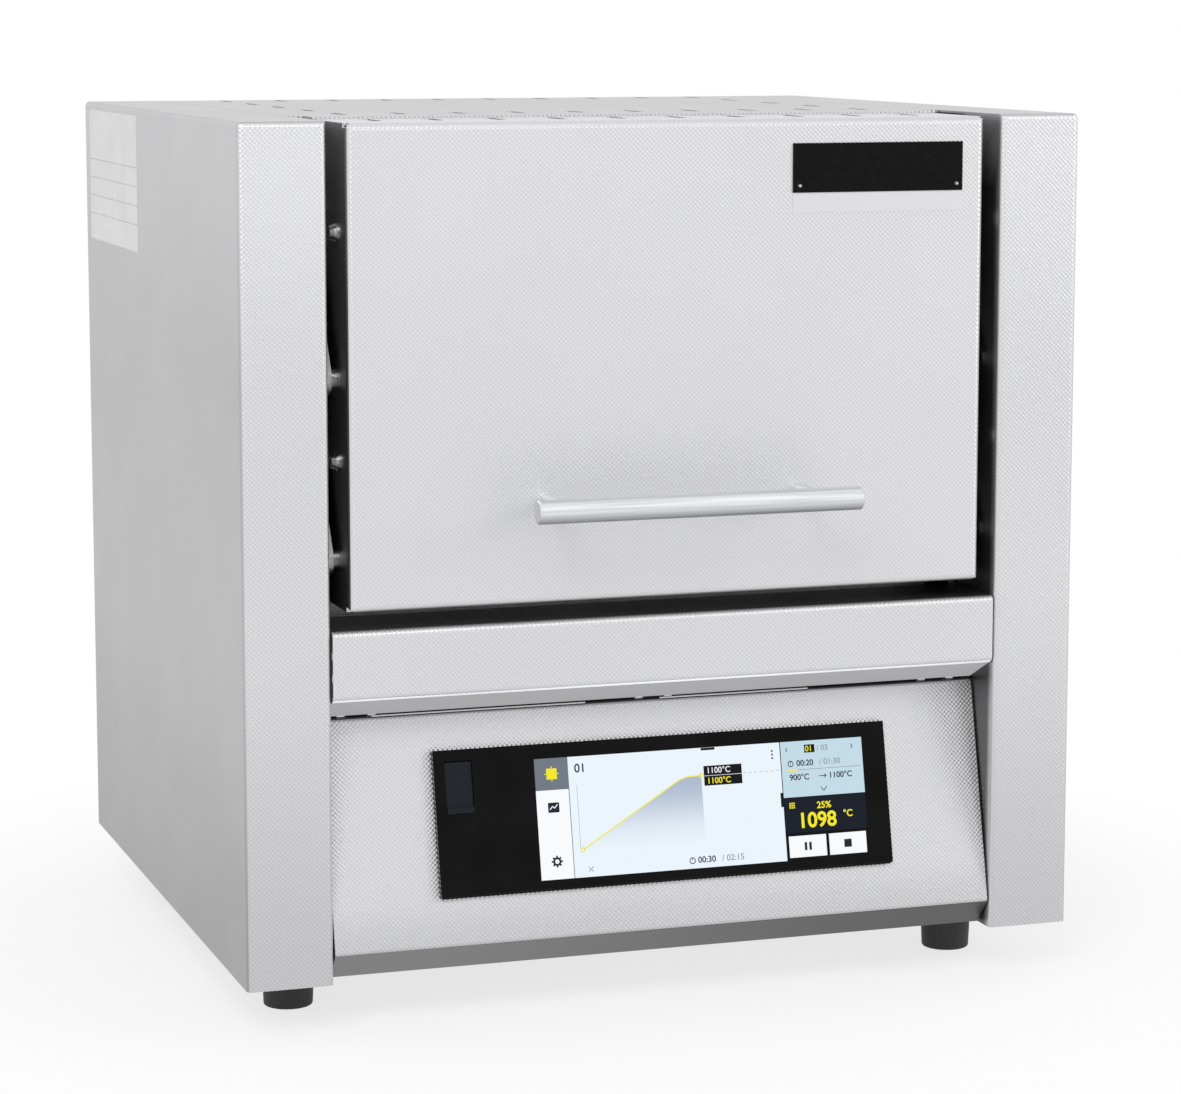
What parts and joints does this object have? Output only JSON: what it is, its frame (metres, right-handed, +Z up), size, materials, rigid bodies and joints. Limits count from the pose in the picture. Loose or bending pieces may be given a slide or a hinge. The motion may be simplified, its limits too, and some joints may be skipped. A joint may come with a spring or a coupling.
{
  "type": "muffle furnace",
  "caption": "Bench muffle furnace with a parallel lift door, textured steel casing, fibre-lined chamber with side heating plates and a tilted touch controller under the door.",
  "frame": {"origin": "on the bench, under the middle of the overall box", "axes": "+Z up, the door faces -Y, +X to the right of someone facing the door"},
  "size_m": [0.3851, 0.4006, 0.3945],
  "materials": {
    "textured_steel": "satin",
    "plain_steel": "satin",
    "polished_steel": "polished",
    "bright_fastener": "polished",
    "handle_steel": "satin",
    "fibre_board": "matte",
    "heater_ceramic": "matte",
    "floor_ceramic": "matte",
    "tube_ceramic": "satin",
    "foot_rubber": "matte",
    "black_glass": "gloss",
    "display": "gloss",
    "black_plastic": "satin",
    "circuit_board": "satin",
    "aluminium": "satin",
    "label_foil": "satin",
    "badge_black": "gloss",
    "spring_steel": "satin"
  },
  "bodies": {
    "root": {"base_tray": "plain_steel", "collar_plate": "polished_steel", "control_panel": "textured_steel", "controller_board": "circuit_board", "controller_glass": "black_glass", "controller_housing": "black_plastic", "display_module": "display", "door_springs": "spring_steel", "door_switch": "black_plastic", "exhaust_spigot": "plain_steel", "exhaust_tube": "tube_ceramic", "floor_lining": "fibre_board", "floor_plate": "floor_ceramic", "foot_studs": "bright_fastener", "front_crossbar": "textured_steel", "heater_terminals": "plain_steel", "inner_housing": "plain_steel", "left_heating_plate": "heater_ceramic", "left_hinge_plate": "plain_steel", "left_lining": "fibre_board", "left_side_panel": "textured_steel", "mains_inlet": "black_plastic", "mid_shelf": "plain_steel", "power_supply": "aluminium", "rear_lining": "fibre_board", "rear_panel": "textured_steel", "rear_screws": "bright_fastener", "relay_heat_sink": "aluminium", "right_heating_plate": "heater_ceramic", "right_hinge_plate": "plain_steel", "right_lining": "fibre_board", "right_side_panel": "textured_steel", "roof_lining": "fibre_board", "rubber_feet": "foot_rubber", "side_label": "label_foil", "solid_state_relay": "black_plastic", "thermocouple_head": "plain_steel", "thermocouple_sheath": "tube_ceramic", "top_panel": "textured_steel", "usb_socket": "aluminium"},
    "upper_arms": {"left_upper_arm": "plain_steel", "right_upper_arm": "plain_steel", "upper_arm_shafts": "bright_fastener"},
    "lower_arms": {"left_lower_arm": "plain_steel", "right_lower_arm": "plain_steel", "lower_arm_pins": "bright_fastener"},
    "door": {"door_shell": "textured_steel", "door_back_plate": "plain_steel", "door_lining": "fibre_board", "door_brackets": "plain_steel", "door_bolts": "bright_fastener", "door_pivot_pins": "bright_fastener", "door_handle": "handle_steel", "handle_posts": "handle_steel", "handle_screws": "bright_fastener", "badge_plate": "badge_black", "badge_rivets": "bright_fastener", "switch_magnet": "aluminium"},
    "usb_cover": {"usb_cover": "black_plastic"},
    "mains_rocker": {"mains_rocker": "black_plastic"}
  },
  "joints": [
    {"name": "door_lift", "type": "hinge", "parent": "root", "child": "upper_arms", "pos_m": [0, -0.08267, 0.3775], "axis": [-1, 0, 0], "range_deg": [0, 95], "deforming": ["door_springs"]},
    {"name": "lower_arm_swing", "type": "hinge", "parent": "root", "child": "lower_arms", "pos_m": [0, -0.08267, 0.2995], "axis": [-1, 0, 0], "range_deg": [0, 95]},
    {"name": "door_pivot", "type": "hinge", "parent": "upper_arms", "child": "door", "pos_m": [0, -0.13667, 0.28397], "axis": [-1, 0, 0], "range_deg": [-95, 0]},
    {"name": "usb_cover_hinge", "type": "hinge", "parent": "root", "child": "usb_cover", "pos_m": [-0.09415, -0.14307, 0.11416], "axis": [-1, 0, 0], "range_deg": [0, 90]},
    {"name": "mains_switch", "type": "hinge", "parent": "root", "child": "mains_rocker", "pos_m": [-0.14, 0.17833, 0.101], "axis": [1, 0, 0], "range_deg": [0, 20]}
  ],
  "couplings": [
    {"joint": "lower_arm_swing", "follows": "door_lift", "ratio": 1},
    {"joint": "door_pivot", "follows": "door_lift", "ratio": -1}
  ]
}
